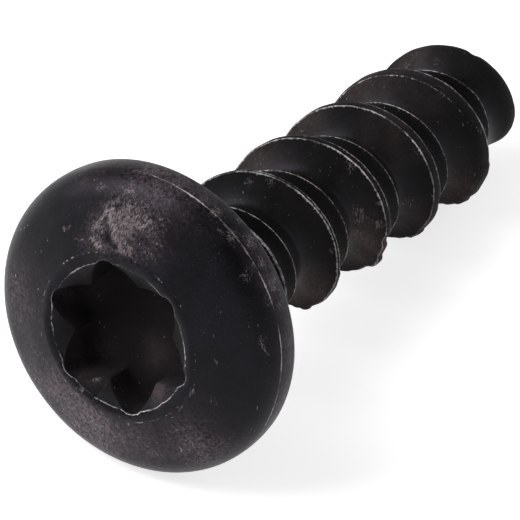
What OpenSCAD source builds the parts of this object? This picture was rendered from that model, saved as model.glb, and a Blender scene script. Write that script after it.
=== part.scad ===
// Sheet metal screw: button head, six-lobe recess, high-and-low thread and a blunt end.
// It lies on its side, as it comes to rest: the head's rim and one thread crest touch the floor.
// Lengths are in millimetres. The screw's own axis is Z before it is laid down, with the bearing face
// of the head at zero and the tip towards plus Z. Angles round the axis count from the floor side.

/* [Head] */
// Largest diameter of the head, at the middle of its rim
head_d = 9.4; // [9:0.1:10]
// Height from the bearing face to the flat land round the recess
head_h = 1.95; // [1.85:0.05:2.2]
// Height of the rim band, up to the sharp line where the dome's shoulder starts
rim_h = 0.7; // [0.6:0.05:0.85]
// Radius of the rim band's outward bulge
rim_bulge_r = 2; // [1.5:0.1:2.5]
// Radius of the dome
dome_r = 10; // [9.4:0.1:11.5]
// Diameter at which the dome turns into its rounded shoulder
dome_d = 8.2; // [8:0.1:8.4]
// Radius of the shoulder between the dome and the rim
shoulder_r = 1.1; // [1:0.05:1.6]
// Outer diameter of the flat land round the recess
land_d = 5.2; // [5:0.05:5.8]

/* [Six-lobe recess] */
// Diameter across the tips of the lobes
lobe_d = 4.68; // [4.4:0.02:4.8]
// Diameter inside the ridges between the lobes
ridge_d = 3.35; // [3.2:0.05:3.5]
// Radius of the rounded end of each lobe
lobe_r = 0.38; // [0.34:0.01:0.42]
// Depth of the recess wall below the land
recess_depth = 1.3; // [1:0.05:1.4]
// Extra depth of the shallow cone in the middle of the recess floor
recess_cone_h = 0.3; // [0.1:0.05:0.35]
// Diameter of the chamfer at the mouth, which cuts a facet on each ridge
mouth_d = 4.5; // [4.2:0.05:4.6]
// Depth of the mouth chamfer where it meets a ridge
mouth_chamfer_h = 0.32; // [0.2:0.02:0.45]
// Turn of the recess: the angle of one lobe from the floor side
recess_turn = 44; // [0:1:59]

/* [Shank] */
// Length from the bearing face to the end of the screw
shank_l = 18.5; // [16:0.1:25]
// Diameter of the plain neck under the head
neck_d = 3.6; // [3.2:0.05:3.8]
// Length of the plain neck
neck_l = 0.95; // [0.8:0.05:1.2]
// Radius of the fillet where the neck meets the bearing face
neck_fillet = 0.65; // [0.6:0.01:0.75]
// Diameter of the flat end
end_d = 2; // [1.6:0.1:2.4]
// Length over which the core narrows to the flat end
end_l = 1.2; // [0.8:0.1:1.6]

/* [High thread] */
// Diameter over the high thread
thread_d = 4.8; // [4.4:0.05:4.85]
// Diameter of the core between the threads
root_d = 2.95; // [2.7:0.05:3.1]
// Distance that both threads advance in one turn
lead = 2.93; // [2.8:0.01:3.2]
// Slope of the high thread's sides at the crest, from square to the axis, in degrees
high_flank = 18; // [14:1:18]
// Distance from the bearing face to the first high crest on the floor side
first_crest = 0.98; // [0.8:0.02:1.2]
// Width of the crest flat near the head, where the thread is sharpest
crest_w_head = 0.06; // [0.04:0.01:0.1]
// Width of the crest flat at the tip, where the blank filled the dies least
crest_w_tip = 0.64; // [0.3:0.02:0.66]
// Distance from the bearing face at which the crest flat starts to widen
crest_widens_at = 4; // [2:0.5:8]
// Distance from the bearing face at which the high thread rises from the neck
high_starts = 1.25; // [1.2:0.05:1.6]
// Distance along the axis over which it rises to full height
run_in = 1.45; // [1:0.05:2]
// Length of the tapered last turn
taper_l = 2.25; // [1.5:0.05:3]
// Diameter of the tapered crest where it reaches the end
taper_end_d = 2.94; // [2.5:0.02:3.2]

/* [Low thread] */
// Diameter over the low thread
low_d = 3.9; // [3.6:0.05:4.1]
// Slope of the low thread's sides at the crest, from square to the axis, in degrees
low_flank = 23; // [18:1:24]
// Distance from the high crest to the next low crest
low_gap = 1.23; // [1.15:0.01:1.3]
// Distance from the bearing face at which the low thread rises from the neck
low_starts = 1.6; // [1.4:0.05:2]
// Distance from the end at which the low thread has run out
low_stops = 1.3; // [1.2:0.05:3]
// Distance along the axis over which it runs out
low_run_out = 0.65; // [0.5:0.05:1.5]

/* [Hidden] */
$fn = 96;
// How far a cutting shape passes the face that it cuts
pass = 0.5;

// Head, in the plane of radius and height above the bearing face
head_r = head_d / 2;
land_r = land_d / 2;
rim_bulge_c = [head_r - rim_bulge_r, rim_h / 2];
rim_edge = [rim_bulge_c.x + sqrt(pow(rim_bulge_r, 2) - pow(rim_h / 2, 2)), rim_h];
dome_c = [0, head_h - sqrt(pow(dome_r, 2) - pow(land_r, 2))];
dome_edge = [dome_d / 2, dome_c.y + sqrt(pow(dome_r, 2) - pow(dome_d / 2, 2))];
// The shoulder's arc runs through the edge of the dome and the edge of the rim
shoulder_chord = rim_edge - dome_edge;
shoulder_rise = sqrt(pow(shoulder_r, 2) - pow(norm(shoulder_chord) / 2, 2));
shoulder_c = (dome_edge + rim_edge) / 2
    + shoulder_rise * [shoulder_chord.y, -shoulder_chord.x] / norm(shoulder_chord);
// Radius at which the block under the dome ends, inside the shoulder's disc
block_r = dome_r * shoulder_c.x / norm(shoulder_c - dome_c);

// Recess: each ridge is round and meets the round lobes beside it at a slight crease
lobe_c = lobe_d / 2 - lobe_r;
ridge_in = ridge_d / 2;
ridge_r = (pow(lobe_c, 2) + pow(ridge_in, 2) - 2 * lobe_c * ridge_in * cos(30) - pow(lobe_r, 2))
    / (2 * (lobe_r - ridge_in + lobe_c * cos(30)));
ridge_c = ridge_in + ridge_r;
ridge_bite = 0.01;
mouth_slope = (mouth_d / 2 - ridge_in) / mouth_chamfer_h;

// Threaded shank
root_r = root_d / 2;
neck_r = neck_d / 2;
thread_r = thread_d / 2;
neck_shoulder_l = 0.5;
high_run = 2 * (thread_r - root_r) * tan(high_flank);
low_run = 2 * (low_d / 2 - root_r) * tan(low_flank);
steps = 36;
// Shares of a flank's run at which its hollow curve is stepped, from the crest down
high_steps = [0, 0.25, 0.6, 1];
low_steps = [0, 0.4, 1];
// Smallest distance from a thread point to the last neck ring or to the end
end_gap = 0.06;
turns = ceil(shank_l / lead);

// Rest: the axis dips towards the tip, from the rim to the last full crest on the floor side
last_crest = first_crest + lead * floor((shank_l - taper_l - first_crest) / lead);
rim_to_crest = [last_crest + rim_bulge_c.y, rim_bulge_c.x - thread_r];
dip = atan2(rim_to_crest.y, rim_to_crest.x) + asin(rim_bulge_r / norm(rim_to_crest));
lift = rim_bulge_c.x * cos(dip) - rim_bulge_c.y * sin(dip) + rim_bulge_r;
head_reach = head_h * cos(dip) + land_r * sin(dip);
tip_reach = shank_l * cos(dip) + end_d / 2 * sin(dip);

// Radius of the core at z, with the neck's shoulder at one end and the narrowed end at the other
function core_r(z) = lookup(z, [
    [neck_l, neck_r],
    [neck_l + neck_shoulder_l, root_r],
    [shank_l - end_l, root_r],
    [shank_l, end_d / 2]
]);

// Radius of the high crest at z, which rises from the core, runs full and tapers to the end
function high_r(z) = lookup(z, [
    [high_starts, core_r(high_starts)],
    [high_starts + run_in, thread_r],
    [shank_l - taper_l, thread_r],
    [shank_l, taper_end_d / 2],
    [shank_l + crest_w_tip, end_d / 2]
]);

// Radius of the low crest at z
function low_r(z) = lookup(z, [
    [low_starts, core_r(low_starts)],
    [low_starts + run_in, low_d / 2],
    [shank_l - low_stops - low_run_out, low_d / 2],
    [shank_l - low_stops, root_r],
    [shank_l, end_d / 2]
]);

function crest_w(z) = lookup(z, [[crest_widens_at, crest_w_head], [shank_l, crest_w_tip]]);

// Radius on a flank at z, at the share s of its run from a crest of radius r down to the core
function flank_r(z, r, s) = core_r(z) + max(0, r - core_r(z)) * pow(1 - s, 2);

function flank_point(z, r, run, s) = [z + run * s, flank_r(z + run * s, r, abs(s))];

// Points [z, radius] of one lead of the thread section, from the tip side of the high crest at z
// to the head side of the next one
function lead_section(z) =
    let (
        low = z + low_gap,
        next = z + lead,
        next_head_side = next - crest_w(next),
        down = len(high_steps) - 1
    ) concat(
        [for (s = high_steps) flank_point(z, high_r(z), high_run, s)],
        [for (i = [len(low_steps) - 1 : -1 : 1]) flank_point(low, low_r(low), low_run, -low_steps[i])],
        [for (s = low_steps) flank_point(low, low_r(low), low_run, s)],
        [for (i = [down : -1 : 0])
            flank_point(next_head_side, high_r(next), high_run, -high_steps[i])]
    );

function on_ring(point, angle) = [point.y * cos(angle), point.y * sin(angle), point.x];

// Rings [z, radius] under the head: the neck's fillet, from inside the head, and the end of the neck
fillet_angles = [25, 45, 65, 90];
fillet_rings = [for (a = fillet_angles)
    [neck_fillet * (1 - cos(a)), neck_r + neck_fillet * (1 - sin(a))]];
fillet_top = [0, neck_r + neck_fillet];
fillet_into_head = fillet_top - (fillet_rings[0] - fillet_top) / 2;
neck_rings = concat(
    [[-recess_floor_gap() / 2, fillet_into_head.y], fillet_into_head],
    fillet_rings,
    [[neck_l, neck_r]]
);

// Thickness left between the lowest point of the recess and the bearing face
function recess_floor_gap() = head_h - recess_depth - recess_cone_h;

// The threaded shank as one skin: columns of points round the axis, each along one line of the screw
module shank() {
    columns = [for (j = [0 : steps - 1])
        [for (n = [-2 : turns]) each lead_section(first_crest + lead * (n + j / steps))]];
    per_lead = len(lead_section(0));
    // The points of a column that lie between the neck and the end
    firsts = [for (c = columns) len([for (p = c) if (p.x <= neck_l + end_gap) 1])];
    lasts = [for (c = columns) len([for (p = c) if (p.x < shank_l - end_gap) 1]) - 1];
    rings = len(neck_rings);
    counts = [for (j = [0 : steps - 1]) rings + lasts[j] - firsts[j] + 2];
    starts = [for (j = 0, s = 0; j < steps; s = s + counts[j], j = j + 1) s];

    points = [for (j = [0 : steps - 1]) let (angle = 360 * j / steps) each concat(
        [for (p = neck_rings) on_ring(p, angle)],
        [for (i = [firsts[j] : lasts[j]]) on_ring(columns[j][i], angle)],
        [on_ring([shank_l, end_d / 2], angle)]
    )];

    // Column numbers run past the last one by wrapping to the first, one lead further on
    function wrap(j) = j % steps;
    function shift(j) = j < steps ? 0 : per_lead;
    function first(j) = firsts[wrap(j)] - shift(j);
    function last(j) = lasts[wrap(j)] - shift(j);
    function ring_id(j, k) = starts[wrap(j)] + k;
    function point_id(j, i) = starts[wrap(j)] + rings + i - first(j);
    function end_id(j) = starts[wrap(j)] + counts[wrap(j)] - 1;
    function quad(a, b, c, d) = [[a, d, c], [a, c, b]];

    faces = concat(
        [[for (j = [0 : steps - 1]) ring_id(j, 0)]],
        [[for (j = [steps - 1 : -1 : 0]) end_id(j)]],
        [for (j = [0 : steps - 1]) each concat(
            [for (k = [0 : rings - 2]) each
                quad(ring_id(j, k), ring_id(j + 1, k), ring_id(j + 1, k + 1), ring_id(j, k + 1))],
            // From the neck's last ring down to the first thread points
            [[ring_id(j, rings - 1), point_id(j + 1, first(j + 1)), ring_id(j + 1, rings - 1)]],
            [for (i = [first(j + 1) : 1 : first(j) - 1])
                [ring_id(j, rings - 1), point_id(j + 1, i + 1), point_id(j + 1, i)]],
            [[ring_id(j, rings - 1), point_id(j, first(j)), point_id(j + 1, first(j))]],
            // Along the threads
            [for (i = [first(j) : 1 : last(j + 1) - 1]) each
                quad(point_id(j, i), point_id(j + 1, i), point_id(j + 1, i + 1), point_id(j, i + 1))],
            // From the last thread points to the end's rim
            [for (i = [last(j + 1) : 1 : last(j) - 1])
                [end_id(j + 1), point_id(j, i), point_id(j, i + 1)]],
            [[end_id(j + 1), point_id(j + 1, last(j + 1)), point_id(j, last(j + 1))]],
            [[end_id(j + 1), point_id(j, last(j)), end_id(j)]]
        )]
    );
    polyhedron(points, faces);
}

// Outline of the head from the axis out, with height above the bearing face upwards
module head_outline() {
    intersection() {
        translate(dome_c) circle(dome_r);
        union() {
            square([block_r, head_h]);
            intersection() {
                translate([ridge_in, 0]) square([head_r, head_h]);
                translate(shoulder_c) circle(shoulder_r);
                translate(rim_bulge_c) circle(rim_bulge_r);
            }
        }
        square([head_d, head_h]);
    }
}

module six_lobe() {
    difference() {
        union() {
            circle(lobe_c);
            for (k = [0 : 5]) rotate(60 * k) translate([lobe_c, 0]) circle(lobe_r);
        }
        for (k = [0 : 5]) rotate(60 * k + 30) translate([ridge_c, 0]) circle(ridge_r + ridge_bite);
    }
}

// The space that the driver goes into, with height above the bearing face upwards
module recess() {
    wall_bottom = head_h - recess_depth;
    translate([0, 0, wall_bottom])
        linear_extrude(recess_depth + pass) six_lobe();
    translate([0, 0, wall_bottom - recess_cone_h])
        cylinder(h = recess_cone_h, r1 = 0, r2 = ridge_in);
    translate([0, 0, head_h - mouth_chamfer_h])
        cylinder(h = mouth_chamfer_h + pass, r1 = ridge_in, r2 = mouth_d / 2 + mouth_slope * pass);
}

module head() {
    rotate([180, 0, 0]) difference() {
        rotate_extrude() head_outline();
        rotate(-recess_turn) recess();
    }
}

module screw() {
    color([0.13, 0.125, 0.13])
        translate([(head_reach - tip_reach) / 2, 0, lift])
            rotate([0, 90 + dip, 0]) {
                head();
                shank();
            }
}

screw();
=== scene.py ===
import math

import bmesh
import bpy
import numpy as np
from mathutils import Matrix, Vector, noise


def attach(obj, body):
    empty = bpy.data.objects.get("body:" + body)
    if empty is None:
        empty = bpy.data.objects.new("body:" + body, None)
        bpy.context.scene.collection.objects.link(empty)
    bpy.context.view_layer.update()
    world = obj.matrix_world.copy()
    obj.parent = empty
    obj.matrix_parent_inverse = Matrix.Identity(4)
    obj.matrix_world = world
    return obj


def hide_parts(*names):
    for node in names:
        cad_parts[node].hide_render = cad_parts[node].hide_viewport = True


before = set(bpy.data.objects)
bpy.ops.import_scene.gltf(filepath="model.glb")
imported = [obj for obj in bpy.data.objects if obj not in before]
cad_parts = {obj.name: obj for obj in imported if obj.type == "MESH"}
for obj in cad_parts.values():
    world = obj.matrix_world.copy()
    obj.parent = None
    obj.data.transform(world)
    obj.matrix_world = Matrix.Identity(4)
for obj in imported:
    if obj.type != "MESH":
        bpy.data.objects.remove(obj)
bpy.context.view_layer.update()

# Coating of the screw: a thin satin black coat over cold-headed and thread-rolled steel.
# It is nearly black where it is whole, and grey steel shows through on edges, scuffs and specks.


def linear(hex_colour):
    """Linear RGBA of an sRGB hex colour."""
    parts = [int(hex_colour[i:i + 2], 16) / 255 for i in (1, 3, 5)]
    return [p / 12.92 if p <= 0.04045 else ((p + 0.055) / 1.055) ** 2.4 for p in parts] + [1.0]


def add_node(tree, kind, inputs=None, **settings):
    """Adds a node to the tree, with its settings, and fills its inputs with values or links."""
    node = tree.nodes.new(kind)
    for name, value in settings.items():
        setattr(node, name, value)
    for key, value in (inputs or {}).items():
        socket = next(s for i, s in enumerate(node.inputs) if s.enabled and key in (i, s.name))
        if isinstance(value, bpy.types.Node):
            value = next(s for s in value.outputs if s.enabled)
        if isinstance(value, bpy.types.NodeSocket):
            tree.links.new(value, socket)
        else:
            socket.default_value = value
    return node


def per_metre(size_mm):
    """Scale of a texture whose features are this many millimetres across."""
    return 1000 / size_mm


# Colours: the whole coat is a bluer black on the head and a browner one on the shank
coat_black = linear("#090a0b")
coat_grey = linear("#131418")
shank_black = linear("#0d0f0d")
shank_grey = linear("#171716")
coat_dust = linear("#352d2f")
coat_pooled = linear("#1b1a18")
# Grey of the patches, partly rubbed coat and partly a painted sheen, on the head and on the shank
coat_rubbed_and_sheen = linear("#6e6166")
shank_rubbed_and_sheen = linear("#7b6b68")
scuffed_steel = linear("#c2b4b5")
worn_steel = linear("#d2ced0")
# Where the head's coat gives way to the shank's, along the lying screw, in metres
shank_from = -0.0075
shank_blend = 0.001
# Pattern sizes. The real grain, flakes, flecks and streaks are mostly finer, too fine to show,
# so they are drawn as coarse as these
mottle_mm = 1.4
patch_mm = 0.8
grain_mm = 0.05
speckle_mm = 0.11
flake_mm = 0.1
streak_mm = 0.05
fleck_mm = 0.06
tick_mm = 0.045
# How far the grey patches, rubbed coat and painted sheen, lose their grain on the shank and in the recess,
# and the even level there
rub_and_sheen_smoothing = 0.65
even_rub_and_sheen = 0.75

coating = bpy.data.materials.new("satin_black_coated_steel")
coating.use_nodes = True
tree = coating.node_tree
shader = tree.nodes["Principled BSDF"]
place = add_node(tree, "ShaderNodeTexCoord").outputs["Object"]
edge, crest, scuff, pooled, rubbed_and_sheen = [
    add_node(tree, "ShaderNodeAttribute", attribute_name=name).outputs["Fac"]
    for name in ("edge", "crest", "scuff", "pooled", "rubbed_and_sheen")]

# Colour of the coat: black with greyer clouds, duller in the recess, grey in patches that are partly rubbed
# coat and partly painted sheen, and dusty
mottle = add_node(tree, "ShaderNodeTexNoise", {
    "Vector": place, "Scale": per_metre(mottle_mm), "Detail": 5.0, "Roughness": 0.6})
cloud = add_node(tree, "ShaderNodeMapRange", {
    "Value": mottle, "From Min": 0.4, "From Max": 0.68}, interpolation_type="SMOOTHSTEP")
along_screw = add_node(tree, "ShaderNodeSeparateXYZ", {0: place})
on_shank = add_node(tree, "ShaderNodeMapRange", {
    "Value": along_screw.outputs["X"], "From Min": shank_from, "From Max": shank_from + shank_blend})
head_coat = add_node(tree, "ShaderNodeMix", {
    "Factor": cloud, "A": coat_black, "B": coat_grey}, data_type="RGBA")
shank_coat = add_node(tree, "ShaderNodeMix", {
    "Factor": cloud, "A": shank_black, "B": shank_grey}, data_type="RGBA")
thin_coat = add_node(tree, "ShaderNodeMix", {
    "Factor": on_shank, "A": head_coat, "B": shank_coat}, data_type="RGBA")
rub_and_sheen_colour = add_node(tree, "ShaderNodeMix", {
    "Factor": on_shank, "A": coat_rubbed_and_sheen, "B": shank_rubbed_and_sheen}, data_type="RGBA")
coat_in = add_node(tree, "ShaderNodeMix", {
    "Factor": pooled, "A": thin_coat, "B": coat_pooled}, data_type="RGBA")
grain = add_node(tree, "ShaderNodeTexNoise", {
    "Vector": place, "Scale": per_metre(grain_mm), "Detail": 3.0, "Roughness": 0.65})
speckle = add_node(tree, "ShaderNodeTexNoise", {
    "Vector": place, "Scale": per_metre(speckle_mm), "Detail": 4.0, "Roughness": 0.75})
rub_and_sheen_grain = add_node(tree, "ShaderNodeMapRange", {
    "Value": speckle, "From Min": 0.38, "From Max": 0.68, "To Min": 0.0, "To Max": 1.5})
rub_and_sheen_cloud = add_node(tree, "ShaderNodeMapRange", {
    "Value": mottle, "From Min": 0.35, "From Max": 0.6, "To Min": 0.35, "To Max": 1.0})
smooth_parts = add_node(tree, "ShaderNodeMath", {0: on_shank, 1: pooled}, operation="MAXIMUM")
smoothing = add_node(tree, "ShaderNodeMath", {0: smooth_parts, 1: rub_and_sheen_smoothing}, operation="MULTIPLY")
rub_and_sheen_smoothed = add_node(tree, "ShaderNodeMix", {
    "Factor": smoothing, "A": rub_and_sheen_grain, "B": even_rub_and_sheen}, data_type="FLOAT")
rub_and_sheen_uneven = add_node(tree, "ShaderNodeMath", {0: rub_and_sheen_smoothed, 1: rub_and_sheen_cloud}, operation="MULTIPLY")
rub_and_sheen = add_node(tree, "ShaderNodeMath", {0: rubbed_and_sheen, 1: rub_and_sheen_uneven}, operation="MULTIPLY")
coat = add_node(tree, "ShaderNodeMix", {
    "Factor": rub_and_sheen, "A": coat_in, "B": rub_and_sheen_colour}, data_type="RGBA")
dust = add_node(tree, "ShaderNodeMapRange", {
    "Value": grain, "From Min": 0.55, "From Max": 0.8, "To Max": 0.5})
dusted = add_node(tree, "ShaderNodeMix", {
    "Factor": dust, "A": coat, "B": coat_dust}, data_type="RGBA")

# Bright wear on the edges, in flakes and with whole stretches left nearly black
patch = add_node(tree, "ShaderNodeTexNoise", {
    "Vector": place, "Scale": per_metre(patch_mm), "Detail": 3.0})
flake = add_node(tree, "ShaderNodeTexNoise", {
    "Vector": place, "Scale": per_metre(flake_mm), "Detail": 4.0, "Roughness": 0.7})
edge_flaked = add_node(tree, "ShaderNodeMath", {
    0: flake, 1: 1.5, 2: edge}, operation="MULTIPLY_ADD")
edge_bare = add_node(tree, "ShaderNodeMapRange", {
    "Value": edge_flaked, "From Min": 1.36, "From Max": 1.68}, interpolation_type="SMOOTHSTEP")
edge_shine = add_node(tree, "ShaderNodeMapRange", {
    "Value": patch, "From Min": 0.38, "From Max": 0.6, "To Min": 0.15, "To Max": 0.9})
edge_wear = add_node(tree, "ShaderNodeMath", {0: edge_bare, 1: edge_shine}, operation="MULTIPLY")

# Scuffs: patches full of short crossed streaks, where dull steel shows through
scuff_streaks = None
for turned in ((0.3, 0.5, 0.35), (1.2, 0.1, 1.4)):
    streak_place = add_node(tree, "ShaderNodeMapping", {
        "Vector": place, "Rotation": turned, "Scale": (1.0, 1.0, 0.25)})
    streak = add_node(tree, "ShaderNodeTexNoise", {
        "Vector": streak_place, "Scale": per_metre(streak_mm), "Detail": 2.0, "Roughness": 0.6})
    scuff_streaks = streak if scuff_streaks is None else add_node(
        tree, "ShaderNodeMath", {0: scuff_streaks, 1: streak}, operation="MAXIMUM")
scuff_broken = add_node(tree, "ShaderNodeMath", {
    0: scuff, 1: 0.38, 2: scuff_streaks}, operation="MULTIPLY_ADD")
scuff_wear = add_node(tree, "ShaderNodeMapRange", {
    "Value": scuff_broken, "From Min": 0.87, "From Max": 1.14, "To Max": 0.48})

# Flecks in clusters, and straight short scratches
fleck = add_node(tree, "ShaderNodeTexNoise", {
    "Vector": place, "Scale": per_metre(fleck_mm), "Detail": 2.0, "Roughness": 0.5})
fleck_mottled = add_node(tree, "ShaderNodeMath", {
    0: mottle, 1: 0.3, 2: fleck}, operation="MULTIPLY_ADD")
fleck_cluster = add_node(tree, "ShaderNodeMath", {
    0: rubbed_and_sheen, 1: 0.1, 2: fleck_mottled}, operation="MULTIPLY_ADD")
fleck_wear = add_node(tree, "ShaderNodeMapRange", {
    "Value": fleck_cluster, "From Min": 0.9, "From Max": 0.98, "To Max": 0.45})
ticks = None
for turned in ((0.9, 0.2, 0.6), (2.1, 1.1, 0.2), (0.2, 0.7, 2.4)):
    tick_place = add_node(tree, "ShaderNodeMapping", {
        "Vector": place, "Rotation": turned, "Scale": (1.0, 1.0, 0.13)})
    tick = add_node(tree, "ShaderNodeTexNoise", {
        "Vector": tick_place, "Scale": per_metre(tick_mm), "Detail": 0.0})
    ticks = tick if ticks is None else add_node(
        tree, "ShaderNodeMath", {0: ticks, 1: tick}, operation="MAXIMUM")
tick_patched = add_node(tree, "ShaderNodeMath", {
    0: patch, 1: 0.4, 2: ticks}, operation="MULTIPLY_ADD")
tick_cluster = add_node(tree, "ShaderNodeMath", {
    0: rubbed_and_sheen, 1: 0.08, 2: tick_patched}, operation="MULTIPLY_ADD")
tick_wear = add_node(tree, "ShaderNodeMapRange", {
    "Value": tick_cluster, "From Min": 1.1, "From Max": 1.15, "To Max": 0.45})
scuffed_coat = add_node(tree, "ShaderNodeMix", {
    "Factor": scuff_wear, "A": dusted, "B": scuffed_steel}, data_type="RGBA")
bare = edge_wear
for more in (fleck_wear, tick_wear):
    bare = add_node(tree, "ShaderNodeMath", {0: bare, 1: more}, operation="MAXIMUM")
colour = add_node(tree, "ShaderNodeMix", {
    "Factor": bare, "A": scuffed_coat, "B": worn_steel}, data_type="RGBA")
wear = add_node(tree, "ShaderNodeMath", {0: bare, 1: scuff_wear}, operation="MAXIMUM")

# Surface: satin, duller on the crests and in the recess, with a faint orange peel, and sunk where it is worn
satin = add_node(tree, "ShaderNodeMapRange", {
    "Value": grain, "From Min": 0.3, "From Max": 0.7, "To Min": 0.32, "To Max": 0.44})
dulled = add_node(tree, "ShaderNodeMath", {
    0: crest, 1: 0.4, 2: satin}, operation="MULTIPLY_ADD")
roughness = add_node(tree, "ShaderNodeMath", {
    0: pooled, 1: 0.55, 2: dulled}, operation="MULTIPLY_ADD")
peel = add_node(tree, "ShaderNodeBump", {
    "Height": patch, "Strength": 0.25, "Distance": 0.00006})
relief = add_node(tree, "ShaderNodeBump", {
    "Height": grain, "Strength": 0.5, "Distance": 0.00001, "Normal": peel})
worn_relief = add_node(tree, "ShaderNodeBump", {
    "Height": wear, "Strength": 0.5, "Distance": 0.00001, "Normal": relief}, invert=True)
tree.links.new(colour.outputs[2], shader.inputs["Base Color"])
tree.links.new(roughness.outputs[0], shader.inputs["Roughness"])
tree.links.new(worn_relief.outputs[0], shader.inputs["Normal"])
shader.inputs["Specular IOR Level"].default_value = 0.13
shader.inputs["Specular Tint"].default_value = linear("#f2eeff")

# Threaded shank: a steel blank rolled between dies, with a high and a low thread of one lead.
# The crest's two edges run together near the head and part towards the tip, where the dies filled less.
mm = 0.001
taper_bend = 1.5
flank_hollow = 2.0
near_edge_left = 0.3
columns = 240
turns_before = 2
turns_in_all = 8
rows_to_low = 18
rows_to_next = 18
rows_on_crest = 6
rows = rows_to_low + rows_to_next + rows_on_crest
sizes = {
    "Lead": 2.93 * mm,
    "First crest": 0.98 * mm,
    "Neck length": 0.95 * mm,
    "Neck radius": 1.8 * mm,
    "Neck shoulder": 0.5 * mm,
    "Core radius": 1.475 * mm,
    "Length": 18.5 * mm,
    "End radius": 1.0 * mm,
    "End length": 1.2 * mm,
    "Thread radius": 2.4 * mm,
    "High start": 1.25 * mm,
    "High start radius": 1.605 * mm,
    "Run-in": 1.45 * mm,
    "Taper length": 2.25 * mm,
    "Taper end radius": 1.09 * mm,
    "Crest width at the head": 0.06 * mm,
    "Crest width at the tip": 0.64 * mm,
    "Crest widens at": 4.0 * mm,
    "High flank run": 0.601 * mm,
    "Low radius": 1.95 * mm,
    "Low gap": 1.23 * mm,
    "Low start": 1.6 * mm,
    "Low stop": 1.4 * mm,
    "Low run-out": 1.35 * mm,
    "Low flank run": 0.403 * mm,
    "Crest rounding": 0.015 * mm,
    "Near edge rounding at the tip": 0.2 * mm,
    "Near edge rounds from": 12.5 * mm,
    "Far edge rounding at the tip": 0.3 * mm,
    "Far edge rounds from": 15.6 * mm,
    "Near edge width": 0.038 * mm,
    "Far edge width": 0.17 * mm,
    "Near edge dulls over": 3.0 * mm,
    "Far edge dulls over": 1.0 * mm,
    "Off centre": 0.08 * mm,
}
thread = bpy.data.node_groups.new("rolled_thread", "GeometryNodeTree")
thread.is_modifier = True
thread.interface.new_socket("Geometry", in_out="OUTPUT", socket_type="NodeSocketGeometry")
sockets = {name: thread.interface.new_socket(name, in_out="INPUT", socket_type="NodeSocketFloat")
           for name in sizes}
size = add_node(thread, "NodeGroupInput").outputs

# A flat ribbon of points: along X the turns of the helix, along Y one lead from crest to crest
ribbon = add_node(thread, "GeometryNodeMeshGrid", {
    "Size X": float(turns_in_all), "Size Y": 1.0,
    "Vertices X": turns_in_all * columns + 1, "Vertices Y": rows + 1})
flat = add_node(thread, "ShaderNodeSeparateXYZ", {0: add_node(thread, "GeometryNodeInputPosition")})
turn = add_node(thread, "ShaderNodeMath", {
    0: flat.outputs["X"], 1: turns_in_all / 2 - turns_before}, operation="ADD")
across = add_node(thread, "ShaderNodeMath", {0: flat.outputs["Y"], 1: 0.5}, operation="ADD")
crest_z = add_node(thread, "ShaderNodeMath", {
    0: turn, 1: size["Lead"], 2: size["First crest"]}, operation="MULTIPLY_ADD")
next_z = add_node(thread, "ShaderNodeMath", {0: crest_z, 1: size["Lead"]}, operation="ADD")
low_z = add_node(thread, "ShaderNodeMath", {0: crest_z, 1: size["Low gap"]}, operation="ADD")
last_width, crest_width = [add_node(thread, "ShaderNodeMapRange", {
    "Value": at, "From Min": size["Crest widens at"], "From Max": size["Length"],
    "To Min": size["Crest width at the head"], "To Max": size["Crest width at the tip"]})
    for at in (crest_z, next_z)]
hollow = add_node(thread, "ShaderNodeMath", {0: size["Lead"], 1: crest_width}, operation="SUBTRACT")
past_low = add_node(thread, "ShaderNodeMath", {0: hollow, 1: size["Low gap"]}, operation="SUBTRACT")

# Distance of each row from its high crest: the rows crowd at the crests, and the last ones cross its flat
low_share = rows_to_low / rows
next_share = (rows_to_low + rows_to_next) / rows
to_low = add_node(thread, "ShaderNodeMapRange", {
    "Value": across, "From Min": 0.0, "From Max": low_share, "To Max": size["Low gap"]},
    interpolation_type="SMOOTHSTEP")
to_next = add_node(thread, "ShaderNodeMapRange", {
    "Value": across, "From Min": low_share, "From Max": next_share, "To Max": past_low},
    interpolation_type="SMOOTHSTEP")
over_crest = add_node(thread, "ShaderNodeMapRange", {
    "Value": across, "From Min": next_share, "From Max": 1.0, "To Max": crest_width})
to_edge = add_node(thread, "ShaderNodeMath", {0: to_low, 1: to_next}, operation="ADD")
step = add_node(thread, "ShaderNodeMath", {0: to_edge, 1: over_crest}, operation="ADD")
free_z = add_node(thread, "ShaderNodeMath", {0: crest_z, 1: step}, operation="ADD")
z = add_node(thread, "ShaderNodeClamp", {
    "Value": free_z, "Min": size["Neck length"], "Max": size["Length"]})
along = add_node(thread, "ShaderNodeMath", {0: z, 1: crest_z}, operation="SUBTRACT")

# Core: the neck's shoulder at one end, the narrowed end at the other
neck_end = add_node(thread, "ShaderNodeMath", {
    0: size["Neck length"], 1: size["Neck shoulder"]}, operation="ADD")
shoulder = add_node(thread, "ShaderNodeMapRange", {
    "Value": z, "From Min": size["Neck length"], "From Max": neck_end,
    "To Min": size["Neck radius"], "To Max": size["Core radius"]}, interpolation_type="SMOOTHSTEP")
end_start = add_node(thread, "ShaderNodeMath", {
    0: size["Length"], 1: size["End length"]}, operation="SUBTRACT")
end_drop = add_node(thread, "ShaderNodeMath", {
    0: size["Core radius"], 1: size["End radius"]}, operation="SUBTRACT")
narrowing = add_node(thread, "ShaderNodeMapRange", {
    "Value": z, "From Min": end_start, "From Max": size["Length"], "To Max": end_drop},
    interpolation_type="SMOOTHSTEP")
core = add_node(thread, "ShaderNodeMath", {0: shoulder, 1: narrowing}, operation="SUBTRACT")

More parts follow.
